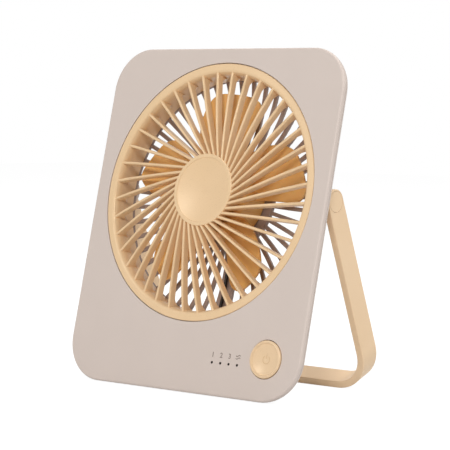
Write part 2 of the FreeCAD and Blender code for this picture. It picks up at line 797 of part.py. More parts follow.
def vane_section(body):
    """A vane's wedge section with its round nose, and the arc that it follows out to the ring."""
    run = d.vane_outer - d.vane_inner
    bend = vane_bend()
    sketch = new_sketch(body, d.vane_inner, plane="YZ_Plane")
    nose = d.vane_front / 2
    heel = d.vane_back / 2
    middle = -d.vane_offset
    shoulder = d.vane_rise - nose * 0.8
    outline(sketch, [
        (middle - heel, d.vane_rise - d.vane_depth), (middle + heel, d.vane_rise - d.vane_depth),
        (middle + nose, shoulder, nose * 1.03), (middle - nose, shoulder),
    ])
    angle = math.degrees(math.asin(value(run) / value(bend)))
    return sketch, d.vane_rise - bend, angle


def vane_bend():
    """Radius of the arc that a vane's front edge follows."""
    run = d.vane_outer - d.vane_inner
    return (run * run + d.vane_drop * d.vane_drop) / (2 * d.vane_drop)


def vane_foot(body):
    """The web that joins a vane's back edge to the duct's wall in a hollow curve."""
    inset, nose, slope, draft = 0.3, 1.2, 0.8, 0.1
    run = d.foot_start - d.vane_inner
    low = d.vane_rise - d.vane_depth - run * run / (2 * vane_bend())
    high = low + d.vane_depth - nose
    wall = d.foot_start + d.foot_radius
    sketch = new_sketch(body, d.vane_offset, plane="XZ_Plane")
    outline(sketch, [
        (d.foot_start, low + inset), (d.foot_start, low, -d.foot_radius), (wall, low - d.foot_radius),
        (d.vane_outer, low - d.foot_radius), (d.vane_outer, low + inset), (wall, high - slope),
        (d.foot_start, high),
    ])
    return pad(sketch, (d.vane_front + d.vane_back) / 2 - draft, both=True)


def centre_disc(body):
    """The dished disc in the middle, which the vanes run into."""
    disc = new_sketch(body, plane="XZ_Plane")
    bowl = (d.dish_radius * d.dish_radius + d.dish_depth * d.dish_depth) / (2 * d.dish_depth)
    rise = d.boss_rise
    under, edge, step, step_run = -1.2, 0.5, 0.5, 0.35
    outline(disc, [
        (0.0, under), (d.boss_radius, under), (d.boss_radius, rise - edge, Size.of(edge)),
        (d.boss_radius - edge, rise), (d.dish_radius + step_run, rise), (d.dish_radius, rise - step, -bowl),
        (0.0, rise - step - d.dish_depth),
    ])
    turned(disc)


def rear_guard():
    """Domed guard: ring with a flange, straight radial spokes, one wide rib for the lead, and the hub."""
    body = new_body("rear_guard")
    guard_ring(body)
    around([swept_round(*spoke_section(body, d.spoke_width, d.spoke_thick))], d.guard_count)
    guard_hub(body)
    lead_rib(body, d.lead_angle - d.guard_turn)
    guard_screw_holes(body)
    return keep(body, on_fan(d.guard_turn))


def guard_ring(body):
    """Sleeve round the duct's rear part, a flange at its front and a lip behind the duct's end."""
    gap, flange_thick, edge, slope = 0.1, 1.2, 1.0, 0.6
    front = -d.tail_depth - 2 * gap
    lip = -d.duct_depth - gap
    section = new_sketch(body, plane="XZ_Plane")
    outline(section, [
        (d.guard_sleeve, front), (d.guard_flange, front), (d.guard_flange, front - flange_thick),
        (d.guard_ring, front - flange_thick), (d.guard_ring, edge - d.guard_depth, -Size.of(edge)),
        (d.guard_ring - edge, -d.guard_depth), (d.duct_radius, -d.guard_depth + slope),
        (d.duct_radius, lip), (d.guard_sleeve, lip),
    ])
    turned(section)


def guard_hub(body):
    """The hub: a shallow well for the motor's base, with round edges."""
    floor, back_edge, front_edge = 1.6, 1.0, 0.5
    back = -d.hub_depth
    face = -d.hub_face
    hub = new_sketch(body, plane="XZ_Plane")
    outline(hub, [
        (0.0, back), (d.hub_radius - back_edge, back, Size.of(back_edge)),
        (d.hub_radius, back + back_edge), (d.hub_radius, face - front_edge, Size.of(front_edge)),
        (d.hub_radius - front_edge, face), (d.hub_well, face), (d.hub_well, back + floor),
        (0.0, back + floor),
    ])
    turned(hub)


def spoke_section(body, width, thick):
    """A spoke's section and the arc that it follows from the hub to the ring."""
    run = d.spoke_outer - d.spoke_inner
    bend = (run * run + d.spoke_bulge * d.spoke_bulge) / (2 * d.spoke_bulge)
    sketch = new_sketch(body, d.spoke_inner, plane="YZ_Plane")
    back = 0.8 - d.hub_depth
    half = width / 2
    round_back = Size.of(0.5)
    outline(sketch, [
        (round_back - half, back), (half - round_back, back, round_back),
        (half, back + round_back), (half, back + thick),
        (-half, back + thick), (-half, back + round_back, round_back),
    ])
    angle = math.degrees(math.asin(value(run) / value(bend)))
    return sketch, back + bend, angle, True


def lead_rib(body, turn):
    """The wide rib, turned to the lead's direction, and the slot and hole that the lead passes."""
    rib_width, rib_thick = Size.of(8.0), Size.of(2.2)
    slot_width, slot_end, slot_depth, clear = 4.4, 38.0, 1.7, 1.0
    hole_radius, hole_back, hole_length = 2.9, 1.4, 3.4
    sketch, centre, angle, backwards = spoke_section(body, rib_width, rib_thick)
    sketch.MapMode = "Deactivated"
    sketch.Placement = Placement(Vector(), Rotation(Vector(0, 0, 1), value(turn))).multiply(
        Placement(Vector(value(d.spoke_inner), 0, 0), Rotation(Vector(1, 1, 1), 120)))
    swept_round(sketch, centre, angle, backwards)
    slot = new_sketch(body, clear - d.hub_face)
    radial_slot(slot, d.hub_well - clear, slot_end, slot_width, turn)
    pocket(slot, slot_depth + clear)
    middle = (d.duct_radius + d.guard_flange) / 2
    hole = new_sketch(body, hole_back - d.guard_depth)
    ring(hole, middle * cosine_size(turn), middle * sine_size(turn), hole_radius)
    pocket(hole, hole_length, up=True)


def guard_screw_holes(body):
    """Sink the guard's hub for the motor's screws."""
    sink_radius, sink_depth, hole_radius, beyond = 2.1, 1.0, 1.1, 0.5
    turn = -value(d.guard_turn)
    places = []
    for across, up in base_screws():
        places.append((across * cosine(turn) - up * sine(turn), across * sine(turn) + up * cosine(turn)))
    sinks = new_sketch(body, -d.hub_depth - beyond)
    for across, up in places:
        ring(sinks, across, up, sink_radius)
    pocket(sinks, sink_depth + beyond, up=True)
    holes = new_sketch(body, -d.hub_depth)
    for across, up in places:
        ring(holes, across, up, hole_radius)
    pocket(holes, 2 * sink_depth, up=True)


# The fan itself.

def impeller():
    """Hub cup and five wide blades in one moulding."""
    body = new_body("impeller_hub")
    cup = new_sketch(body, plane="XZ_Plane")
    front = -d.rotor_front
    plate, nose, crown, inner_round = 1.8, 3.0, 0.8, 1.4
    skirt = d.rotor_radius - 1.6
    grip = d.can_radius + 1.2
    grip_end = front - 9.0
    stem_end = front - 3.2
    under = front - plate
    outline(cup, [
        (d.shaft_radius, stem_end), (d.shaft_radius, front - crown), (0.0, front - crown), (0.0, front),
        (d.rotor_radius - nose, front, -Size.of(nose)), (d.rotor_radius, front - nose),
        (d.rotor_radius, -d.rotor_back), (skirt, -d.rotor_back),
        (skirt, under - inner_round, Size.of(inner_round)), (skirt - inner_round, under), (grip, under),
        (grip, grip_end), (d.can_radius, grip_end), (d.can_radius, under), (d.stem_radius, under),
        (d.stem_radius, stem_end),
    ])
    turned(cup)
    return keep(with_blades(body), on_fan())


def with_blades(hub):
    """The hub joined with the blades, which are set evenly round it."""
    parts = [hub]
    count = int(value(d.blade_count))
    shape = blade()
    for number in range(count):
        turn = value(d.blade_turn) + number * 360.0 / count
        item = doc.addObject("Part::Feature", "blade")
        item.Shape = shape
        item.Placement = Placement(Vector(), Rotation(Vector(0, 0, 1), turn))
        parts.append(item)
    whole = doc.addObject("Part::MultiFuse", "impeller")
    whole.Refine = False
    whole.Shapes = parts
    return whole


def blade_section(across, pitch):
    """The blades' thin hollow sheet cut at one distance from the axis, turned to its pitch there."""
    half = value(d.blade_chord) / 2
    thick = value(d.blade_thick) / 2
    hollow = -value(d.blade_bow)
    blunt = Vector(0, thick, 0)
    left = Vector(-half, 0, 0)
    right = Vector(half, 0, 0)
    edges = [
        Part.Arc(left + blunt, Vector(0, hollow + thick, 0), right + blunt).toShape(),
        Part.LineSegment(right + blunt, right - blunt).toShape(),
        Part.Arc(right - blunt, Vector(0, hollow - thick, 0), left - blunt).toShape(),
        Part.LineSegment(left - blunt, left + blunt).toShape(),
    ]
    wire = Part.Wire(edges)
    flat = Placement(Vector(), Rotation(Vector(1, 1, 1), 120))
    tilted = Placement(Vector(across, 0, -value(d.blade_level)), Rotation(Vector(1, 0, 0), pitch))
    wire.Placement = tilted.multiply(flat)
    return wire


def around_axis(radius, angle):
    return Vector(radius * cosine(angle), radius * sine(angle), -BLADE_SPACE)


def blade_plan(root, tip):
    """The blade seen along the axis, as a tall prism: radial leading edge, round tip, swept trailing edge."""
    leading_root, leading_middle, leading_tip = -19.0, -16.8, -17.5
    trailing_root, trailing_middle, trailing_tip = 29.0, 20.5, 12.5
    sides = [
        ((root, leading_root), ((root + tip) / 2, leading_middle), (tip, leading_tip)),
        ((tip, leading_tip), (tip, (leading_tip + trailing_tip) / 2), (tip, trailing_tip)),
        ((tip, trailing_tip), (0.84 * tip, trailing_middle), (root, trailing_root)),
        ((root, trailing_root), (root, (leading_root + trailing_root) / 2), (root, leading_root)),
    ]
    edges = [Part.Arc(*[around_axis(*point) for point in side]).toShape() for side in sides]
    prism = Part.Face(Part.Wire(edges)).extrude(Vector(0, 0, BLADE_SPACE))
    corners = []
    for edge in prism.Edges:
        point = edge.BoundBox.Center
        if edge.BoundBox.ZLength > 1.0 and math.hypot(point.x, point.y) > tip - 1.0:
            corners.append(edge)
    return prism.makeFillet(value(d.blade_corner), corners)


def blade():
    """A twisted sheet, steeper at the hub than at the tip, cut to the blade's outline."""
    tip = value(d.blade_radius)
    root = value(d.rotor_radius) - 0.9
    stations = [
        blade_section(root - 3.0, 25.0),
        blade_section((root + tip) / 2, 19.5),
        blade_section(tip + 1.0, 19.5),
    ]
    sheet = Part.makeLoft(stations, True, False)
    return sheet.common(blade_plan(root, tip)).Solids[0]


def rotor_can():
    """Drawn steel cup that turns with the impeller."""
    body = new_body("rotor_can")
    sketch = new_sketch(body, plane="XZ_Plane")
    inner = d.can_radius - d.can_wall
    back = -d.can_front - d.can_wall
    outline(sketch, [
        (d.stem_radius, -d.can_front), (d.can_radius, -d.can_front), (d.can_radius, -d.can_back),
        (inner, -d.can_back), (inner, back), (d.stem_radius, back),
    ])
    turned(sketch)
    return keep(body, on_fan())


def tube(name, inner, outer, low, high, placement):
    """A plain ring between two levels."""
    outside = cylinder(name + "_outside", outer, low, high)
    inside = cylinder(name + "_inside", inner, Size.of(low) - 1.0, Size.of(high) + 1.0)
    return keep(cut(name, outside, inside), placement)


def rotor_magnet():
    """Ring magnet bonded inside the can."""
    thick, front, short = 1.9, 7.2, 0.4
    outer = d.can_radius - d.can_wall
    return tube("rotor_magnet", outer - thick, outer, short - d.can_back, -front, on_fan())


def motor_shaft():
    """Ground pin, pressed into the impeller's stem."""
    end = -24.2
    rod = cylinder("shaft_rod", d.shaft_radius, end, -d.rotor_front - 0.8)
    return keep(grouped("motor_shaft", [rod]), on_fan())


def shaft_clip():
    """Washer that snaps on the shaft behind the rear bearing."""
    radius, back, front = 2.7, -23.2, -22.7
    return tube("shaft_clip", d.shaft_radius, radius, back, front, on_fan())


def motor_base():
    """Round base with the bearing tube, three screw bosses and a slot for the lead."""
    body = new_body("motor_base")
    sketch = new_sketch(body, plane="XZ_Plane")
    floor = 1.7 - d.hub_depth
    face = -d.base_face
    top, cup_floor, low_edge, high_edge = -7.0, 0.7, 0.5, 0.4
    outline(sketch, [
        (0.0, floor), (d.base_radius - low_edge, floor), (d.base_radius, floor + low_edge),
        (d.base_radius, face - high_edge), (d.base_radius - high_edge, face), (d.tube_radius, face),
        (d.tube_radius, top), (d.bearing_radius, top), (d.bearing_radius, floor + cup_floor),
        (0.0, floor + cup_floor),
    ])
    turned(sketch)
    boss_radius, boss_rise, pilot_radius, pilot_length, overlap = 2.5, 2.9, 0.9, 4.1, 0.5
    bosses = new_sketch(body, face - overlap)
    for across, up in base_screws():
        ring(bosses, across, up, boss_radius)
    pad(bosses, boss_rise + overlap, down=False)
    pilots = new_sketch(body, floor - overlap)
    for across, up in base_screws():
        ring(pilots, across, up, pilot_radius)
    pocket(pilots, pilot_length + overlap, up=True)
    slot = new_sketch(body, face + overlap)
    radial_slot(slot, 14.6, d.base_radius + 1.0, 2.8, d.lead_angle)
    pocket(slot, 3.0)
    return keep(body, on_fan())


def base_screws():
    """Places of the three screws that hold the motor's base to the guard."""
    radius = 20.4
    return [(radius * cosine(angle), radius * sine(angle)) for angle in (90, 210, 330)]


def motor_screws():
    """Three screws sunk into the back of the guard's hub."""
    screws = []
    for across, up in base_screws():
        shank = cylinder("motor_screw_shank", 0.9, -d.hub_depth + 1.0, -d.base_face + 0.5, across, up)
        head = cylinder("motor_screw_head", 1.9, -d.hub_depth + 0.1, -d.hub_depth + 1.0, across, up)
        whole = doc.addObject("Part::MultiFuse", "motor_screw")
        whole.Shapes = [shank, head]
        screws.append(whole)
    return keep(grouped("motor_screws", screws), on_fan())


def bearings():
    """Two small bearings in the motor's tube."""
    items = []
    for low in (-9.6, -22.2):
        high = low + d.bearing_length
        outside = cylinder("bearing_outside", d.bearing_radius, low, high)
        inside = cylinder("bearing_inside", d.shaft_radius + d.running_gap, low - 1.0, high + 1.0)
        items.append(cut("bearing", outside, inside))
    return keep(grouped("bearings", items), on_fan())


def motor_stator():
    """Laminated core: a hub on the bearing tube, nine teeth and their shoes."""
    back, stack, core_radius = -15.6, 6.4, 7.4
    tooth_start, tooth_end, tooth_half = 7.0, 14.2, 1.0
    shoe_start, shoe_end, shoe_inner, shoe_outer, shoe_bow = 13.6, 15.4, 4.2, 4.4, Size.of(16.0)
    body = new_body("motor_stator")
    core = new_sketch(body, back)
    ring(core, 0.0, 0.0, core_radius)
    ring(core, 0.0, 0.0, d.tube_radius)
    pad(core, stack, down=False)
    arm = new_sketch(body, back)
    box(arm, tooth_start, -tooth_half, tooth_end, tooth_half)
    tooth = pad(arm, stack, down=False)
    around([tooth], d.stator_teeth)
    shoe = new_sketch(body, back)
    outline(shoe, [
        (shoe_start, -shoe_inner), (shoe_end, -shoe_outer, shoe_bow), (shoe_end, shoe_outer),
        (shoe_start, shoe_inner),
    ])
    around([pad(shoe, stack, down=False)], d.stator_teeth)
    return keep(body, on_fan())


def motor_coils():
    """One wound coil on each tooth, as a hollow block."""
    start, end, half, back, front = 7.9, 13.2, 2.2, -16.8, -8.0
    bore_start, bore_end, bore_half, bore_back, bore_front = 7.0, 14.1, 1.05, -15.65, -9.15
    count = int(value(d.stator_teeth))
    coils = []
    for number in range(count):
        outside = block("coil_outside", start, -half, back, end, half, front)
        inside = block("coil_inside", bore_start, -bore_half, bore_back, bore_end, bore_half, bore_front)
        coil = cut("coil", outside, inside)
        doc.recompute()
        coil.Placement = Placement(Vector(), Rotation(Vector(0, 0, 1), number * 360.0 / count))
        coils.append(coil)
    return keep(grouped("motor_coils", coils), on_fan())


def motor_board():
    """Ring-shaped board under the stator, standing on the base."""
    outer, back, front = 16.6, -19.6, -18.6
    return tube("motor_board", d.tube_radius + 0.2, outer, back, front, on_fan())


def motor_lead():
    """Sleeved lead from the motor's board, under the impeller, along the wide rib and into the chamber.

    The route is a list of distances from the axis and levels, straight runs that tangent arcs join.
    """
    route = [(16.2, -20.4), (20.5, -24.1), (27.5, -24.1), (41.0, -22.0), (50.5, -20.3)]
    route += [(59.6, -18.1), (68.3, -14.8), (74.0, -14.3), (79.0, -14.5)]
    along = cosine(d.lead_angle)
    rise = sine(d.lead_angle)
    points = [Vector(reach * along, reach * rise, level) for reach, level in route]
    item = doc.addObject("Part::Feature", "motor_lead")
    item.Shape = tube_along(points, value(d.lead_radius))
    return keep(item, on_fan())


def tube_along(points, radius):
    """A round tube along straight runs that tangent arcs join, its volume compared with its length."""
    share, tolerance = 0.45, 0.01
    edges = []
    bends = []
    start = points[0]
    for before, corner, after in zip(points, points[1:], points[2:]):
        back = (before - corner).normalize()
        ahead = (after - corner).normalize()
        reach = share * min((before - corner).Length, (after - corner).Length)
        first = corner + back * reach
        last = corner + ahead * reach
        half = back.getAngle(ahead) / 2
        bend = reach * math.tan(half)
        to_centre = (back + ahead).normalize() * (reach / math.cos(half))
        centre = corner + to_centre
        middle = centre - to_centre.normalize() * bend
        bends.append(bend)
        edges.append(Part.LineSegment(start, first).toShape())
        edges.append(Part.Arc(first, middle, last).toShape())
        start = last
    edges.append(Part.LineSegment(start, points[-1]).toShape())
    path = Part.Wire(edges)
    along = (points[1] - points[0]).normalize()
    section = Part.Wire(Part.makeCircle(radius, points[0], along))
    shape = path.makePipeShell([section], True, False)
    expected = math.pi * radius * radius * path.Length
    print("bend radii", [round(bend, 1) for bend in bends], "volume", shape.Volume, "expected", expected)
    if abs(shape.Volume / expected - 1.0) > tolerance:
        raise RuntimeError("the tube's volume is wrong")
    return shape


# Controls, board and battery.

def power_button():
    """Dished round button with a raised rim, a flange that keeps it in and a stem to the switch."""
    body = new_body("power_button")
    sketch = new_sketch(body, plane="XZ_Plane")
    rise = d.button_rise
    edge = rise - d.dish_step
    bowl = (d.button_dish * d.button_dish + d.button_bowl * d.button_bowl) / (2 * d.button_bowl)
    soft, slope, flange_gap = Size.of(1.0), 0.8, 0.35
    stem_radius, stem_end, flange_thick, flange_reach = 2.0, -3.9, 0.9, 0.8
    under = -d.front_wall - flange_gap
    back = under - flange_thick
    flange = d.button_hole + flange_reach
    outline(sketch, [
        (0.0, stem_end), (stem_radius, stem_end), (stem_radius, back), (flange, back), (flange, under),
        (d.button_radius, under), (d.button_radius, rise - soft, soft), (d.button_radius - soft, rise),
        (d.button_dish + slope, rise), (d.button_dish, edge, -bowl), (0.0, edge - d.button_bowl),
    ])
    turned(sketch)
    return keep(body, on_face(d.button_across, d.button_up))


def switch_plunger():
    """Pin of the push switch, which the button's stem bears on."""
    radius, back, front = 1.6, -5.7, -3.9
    rod = cylinder("plunger_rod", radius, back, front)
    return keep(grouped("switch_plunger", [rod]), on_face(d.button_across, d.button_up))


def tact_switch():
    """Square switch body with a well that the plunger slides in."""
    half, front, well_radius, well_floor = 3.0, -5.0, 1.7, 0.3
    base = block("switch_case", -half, -half, -d.board_depth, half, half, front)
    well = cylinder("switch_well", well_radius, well_floor - d.board_depth, front + 1.0)
    return keep(cut("tact_switch", base, well), on_face(d.button_across, d.button_up))


def main_board():
    """Circuit board behind the button and the indicators."""
    left, low, right, high, corner = [Size.of(number) for number in (12.5, 11.2, 67.0, 36.6, 7.5)]
    hole_radius = 1.1
    body = new_body("main_board")
    sketch = new_sketch(body, -d.board_depth)
    rounded_box(sketch, left, low, right, high, corner)
    for across, up in BOARD_SCREWS:
        ring(sketch, across, up, hole_radius)
    pad(sketch, d.board_thick)
    return keep(body, on_face())


def board_screws():
    """Three small screws from the back of the main board into the front shell's posts."""
    shank_radius, tip, head_radius, head_height = 0.8, -4.4, 1.8, 1.1
    screws = []
    back = -d.board_depth - d.board_thick
    for across, up in BOARD_SCREWS:
        shank = cylinder("board_screw_shank", shank_radius, back, tip, across, up)
        head = cylinder("board_screw_head", head_radius, back - head_height, back, across, up)
        whole = doc.addObject("Part::MultiFuse", "board_screw")
        whole.Shapes = [shank, head]
        screws.append(whole)
    return keep(grouped("board_screws", screws), on_face())


def indicator_leds():
    """Four chip lamps on the board, one under each hole."""
    half_width, half_height, thick = 0.8, 0.5, 0.7
    low = -d.board_depth
    lamps = []
    for number in range(4):
        across = d.light_first + d.light_pitch * number
        lamps.append(block("lamp", across - half_width, d.light_up - half_height, low,
                           across + half_width, d.light_up + half_height, low + thick))
    return keep(grouped("indicator_leds", lamps), on_face())


def light_guide():
    """Smoked bar with four pins that fill the indicator holes."""
    margin_across, margin_up, corner, bar_depth = 2.2, 1.8, Size.of(1.2), 4.2
    gap, recess, overlap = 0.05, 0.1, 0.3
    first = d.light_first
    last = d.light_first + 3 * d.light_pitch
    up = d.light_up
    body = new_body("light_guide")
    bar = new_sketch(body, -d.front_wall - recess)
    rounded_box(bar, first - margin_across, up - margin_up, last + margin_across, up + margin_up, corner)
    pad(bar, bar_depth)
    pins = new_sketch(body, -d.front_wall - overlap)
    for number in range(4):
        ring(pins, first + d.light_pitch * number, up, d.light_radius - gap)
    pad(pins, d.front_wall + overlap - recess, down=False)
    return keep(body, on_face())


def usb_socket():
    """Upright charging socket on the back of the board, facing the rear."""
    half_width, half_height, corner, wall = 4.5, 1.65, Size.of(1.6), 0.3
    tongue_inset, tongue_half, tongue_corner, inside_depth = 1.2, 0.35, Size.of(0.3), 6.2
    body = new_body("usb_socket")
    board_back = -d.board_depth - d.board_thick
    mouth = 0.5 - d.block_depth
    left = d.inlet_across - half_width
    right = d.inlet_across + half_width
    low = d.inlet_up - half_height
    high = d.inlet_up + half_height
    shell = new_sketch(body, mouth)
    rounded_box(shell, left, low, right, high, corner)
    pad(shell, board_back - mouth, down=False)
    inside = new_sketch(body, mouth)
    rounded_box(inside, left + wall, low + wall, right - wall, high - wall, corner - wall)
    rounded_box(inside, left + tongue_inset, d.inlet_up - tongue_half,
                right - tongue_inset, d.inlet_up + tongue_half, tongue_corner)
    pocket(inside, inside_depth, up=True)
    return keep(body, on_face())


def battery_cells():
    """Two flat pouch cells side by side."""
    width, low, high, corner, front, thick = 33.5, Size.of(12.0), Size.of(37.0), Size.of(2.0), 5.4, 9.4
    cells = []
    for left in CELL_EDGES:
        body = new_body("battery_cell")
        sketch = new_sketch(body, -front)
        rounded_box(sketch, Size.of(left), low, Size.of(left + width), high, corner)
        pad(sketch, thick)
        cells.append(body)
    return keep(grouped("battery_cells", cells), on_face())


def battery_tape():
    """Double-sided foam tape that holds the cells to the front shell."""
    inset, width, low, high, back, front = 2.5, 28.5, 14.0, 34.0, -5.35, -2.05
    strips = []
    for left in CELL_EDGES:
        strips.append(block("tape", left + inset, low, back, left + inset + width, high, front))
    return keep(grouped("battery_tape", strips), on_face())


def battery_board():
    """Small protection board on edge between the cells and the main board."""
    left, low, back, right, high, front = 7.2, 12.0, -13.0, 8.2, 35.0, -5.0
    plate = block("battery_plate", left, low, back, right, high, front)
    return keep(grouped("battery_board", [plate]), on_face())


# The stand.

def stand():
    """U-shaped strap of one section, with round ends, seats for the caps and holes for the pins."""
    body = new_body("stand")
    strap = new_sketch(body)
    face = d.arm_face
    inner = d.arm_face - d.strap_thick
    top = d.strap_width / 2
    low = -d.strap_length
    bend = d.strap_bend
    tight = d.strap_bend - d.strap_thick
    outline(strap, [
        (bend - face, low), (face - bend, low, bend), (face, low + bend), (face, top),
        (inner, top), (inner, low + bend, -tight), (face - bend, low + d.strap_thick),
        (bend - face, low + d.strap_thick, -tight), (-inner, low + bend), (-inner, top),
        (-face, top), (-face, low + bend, bend),
    ])
    pad(strap, d.strap_width, both=True)
    rounded(body, d.strap_width / 2 - 0.01, arm_corner)
    rounded(body, d.strap_edge, strap_rim)
    seats(body)
    return keep(body, on_stand())


def arm_corner(edge):
    """True for the square corners at the top of the arms."""
    bound = edge.BoundBox
    runs_across = bound.XLength > 1.0 and bound.YLength < 1e-6 and bound.ZLength < 1e-6
    return runs_across and abs(bound.YMax - value(d.strap_width) / 2) < 1e-6


def strap_rim(edge):
    """True for the long edges of the strap's outside and inside faces."""
    bound = edge.BoundBox
    half = value(d.strap_width) / 2
    side = abs(abs(bound.ZMin) - half) < 0.02 and abs(bound.ZLength) < 0.03
    end = bound.XLength < 1e-6 and bound.ZLength > half
    return side or (end and bound.YMin > -1.0)


def seats(body):
    """Flush seats for the caps, deeper seats for the pins' heads, and the running holes."""
    cap_seat = (d.cap_radius + 0.15, d.cap_thick + 0.05)
    head_seat = (d.cap_radius - 1.0, d.cap_thick + 1.35)
    beyond = 1.0
    for radius, depth in (cap_seat, head_seat):
        sketch = new_sketch(body, d.arm_face - depth, plane="YZ_Plane")
        ring(sketch, 0.0, 0.0, radius)
        pocket(sketch, depth + beyond, up=True)
        other = new_sketch(body, depth - d.arm_face, plane="YZ_Plane")
        ring(other, 0.0, 0.0, radius)
        pocket(other, depth + beyond)
    through = new_sketch(body, -d.arm_face, plane="YZ_Plane")
    ring(through, 0.0, 0.0, d.pin_radius + d.running_gap)
    pocket(through, 2 * d.arm_face, up=True)


def crosswise(name, radius, start, end, side):
    """A cylinder along X between two distances from the middle, on one side."""
    item = doc.addObject("Part::Cylinder", name)
    item.setExpression("Radius", Size.of(radius).formula)
    item.setExpression("Height", (Size.of(end) - Size.of(start)).formula)
    item.Placement = Placement(Vector(side * value(start), 0, 0), Rotation(Vector(0, side, 0), 90))
    return item


def at_hinge():
    return on_face(up=d.pivot_up, depth=d.pivot_depth)


def pivot_pins():
    """Shoulder pins: shank through the arm into the ear, head sunk under the cap."""
    head_height, head_inset = 1.15, 1.3
    head_face = d.arm_face - d.cap_thick - 0.1
    shoulder = head_face - head_height
    pins = []
    for side in (-1, 1):
        shank = crosswise("pin_shank", d.pin_radius, d.ear_inner + 0.2, shoulder, side)
        head = crosswise("pin_head", d.cap_radius - head_inset, shoulder, head_face, side)
        whole = doc.addObject("Part::MultiFuse", "pin")
        whole.Shapes = [shank, head]
        pins.append(whole)
    return keep(grouped("pivot_pins", pins), at_hinge())


def friction_washers():
    """Thin washers between the arms and the ears, which give the hinge its stiffness."""
    radius, gap = 5.6, 0.05
    washers = []
    for side in (-1, 1):
        outside = crosswise("washer_outside", radius, d.ear_face, d.arm_face - d.strap_thick - gap, side)
        inside = crosswise("washer_inside", d.pin_radius, d.ear_face - 1.0, d.arm_face, side)
        washers.append(cut("washer", outside, inside))
    return keep(grouped("friction_washers", washers), at_hinge())


def pivot_caps():
    """Flush discs that hide the pins."""
    caps = []
    for side in (-1, 1):
        caps.append(crosswise("cap", d.cap_radius, d.arm_face - d.cap_thick, d.arm_face, side))
    return keep(grouped("pivot_caps", caps), on_stand())


def build():
    front_shell()
    rear_shell()
    rubber_feet()
    shell_screws()
    front_grille()
    rear_guard()
    impeller()
    rotor_can()
    rotor_magnet()
    motor_shaft()
    shaft_clip()
    motor_base()
    motor_screws()
    bearings()
    motor_stator()
    motor_coils()
    motor_board()
    motor_lead()
    power_button()
    switch_plunger()
    tact_switch()
    main_board()
    board_screws()
    indicator_leds()
    light_guide()
    usb_socket()
    battery_cells()
    battery_tape()
    battery_board()
    stand()
    pivot_pins()
    friction_washers()
    pivot_caps()


def check_and_write():
    """Stop on anything that failed, then write one file for each sub-part."""
    doc.recompute()
    for item in doc.Objects:
        if "Invalid" in item.State or "Error" in item.State:
            raise RuntimeError("%s did not recompute" % item.Label)
    for item in made:
        if item.Shape.isNull() or not item.Shape.isValid():
            raise RuntimeError("%s has no valid shape" % item.Label)
    os.makedirs("parts", exist_ok=True)
    whole = FreeCAD.BoundBox()
    for item in made:
        item.Shape.exportStep("parts/%s.step" % item.Label)
        whole.add(item.Shape.BoundBox)
        print("%-18s %2d solids  %9.2f mm3" % (item.Label, len(item.Shape.Solids), item.Shape.Volume))
    print("box X %.2f..%.2f Y %.2f..%.2f Z %.2f..%.2f" % (
        whole.XMin, whole.XMax, whole.YMin, whole.YMax, whole.ZMin, whole.ZMax))


build()
check_and_write()
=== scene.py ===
"""The looks of a portable camping fan: a flat caged fan in a leaning panel on a U-shaped stand."""
import json
import math

import bpy
import numpy as np
from mathutils import Euler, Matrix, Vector


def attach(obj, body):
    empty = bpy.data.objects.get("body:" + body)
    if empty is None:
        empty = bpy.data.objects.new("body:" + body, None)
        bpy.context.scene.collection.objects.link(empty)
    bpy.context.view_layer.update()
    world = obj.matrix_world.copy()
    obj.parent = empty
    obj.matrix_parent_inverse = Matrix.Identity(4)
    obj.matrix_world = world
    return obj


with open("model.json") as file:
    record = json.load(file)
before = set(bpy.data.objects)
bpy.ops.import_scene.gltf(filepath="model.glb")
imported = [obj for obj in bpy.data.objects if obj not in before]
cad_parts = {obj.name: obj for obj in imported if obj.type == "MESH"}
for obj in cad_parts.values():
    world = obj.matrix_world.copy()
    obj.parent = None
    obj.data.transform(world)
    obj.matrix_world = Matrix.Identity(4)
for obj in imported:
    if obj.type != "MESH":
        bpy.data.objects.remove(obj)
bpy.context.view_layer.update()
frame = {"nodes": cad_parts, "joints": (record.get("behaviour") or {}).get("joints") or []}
nodes = frame["nodes"]
joints = {joint["name"]: joint for joint in frame["joints"]}

# The camera is that of a product photo: a long lens a little above the fan's middle, to the right of its
# front. Places are in metres and turns in degrees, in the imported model's frame.
camera_place = (0.7089, -0.8623, 0.1624)
camera_turn = (86.435, -0.739, 39.550)
focal_length = 153.91
sensor_width = 36.0

lens = bpy.data.cameras.new("camera")
lens.lens = focal_length
lens.sensor_width = sensor_width
lens.clip_start = 0.05
lens.clip_end = 50.0
camera = bpy.data.objects.new("camera", lens)
camera.location = camera_place
camera.rotation_euler = Euler([math.radians(angle) for angle in camera_turn])
bpy.context.scene.collection.objects.link(camera)
bpy.context.scene.camera = camera


# The casing is two shells of ABS, screwed together and moulded in a tool with an even spark-eroded surface.
# It gives a dry pinkish taupe with a soft, wide sheen and a grain of about 0.1 mm, which is drawn at 0.6 mm
# here and on the other mouldings so that it shows.
def linear(colour):
    """The linear values of an sRGB colour written as six hex digits."""
    parts = [int(colour[start:start + 2], 16) / 255 for start in (0, 2, 4)]
    values = [part / 12.92 if part <= 0.04045 else ((part + 0.055) / 1.055) ** 2.4 for part in parts]
    return (*values, 1.0)


def add_node(tree, kind, values=None, links=None, **settings):
    """Adds one node: its own settings, the numbers on its sockets, and what feeds its sockets."""
    node = tree.nodes.new(kind)
    for name, setting in settings.items():
        setattr(node, name, setting)
    for socket, number in (values or {}).items():
        node.inputs[socket].default_value = number
    for socket, source in (links or {}).items():
        tree.links.new(source, node.inputs[socket])
    return node


def new_material(name):
    """A material with an empty node tree, and the tree."""
    material = bpy.data.materials.new(name)
    material.use_nodes = True
    material.node_tree.nodes.clear()
    return material, material.node_tree


def dress(names, material):
    """Gives CAD nodes a material in every slot that they have."""
    for name in names:
        slots = nodes[name].data.materials
        if not slots:
            slots.append(material)
        for index in range(len(slots)):
            slots[index] = material


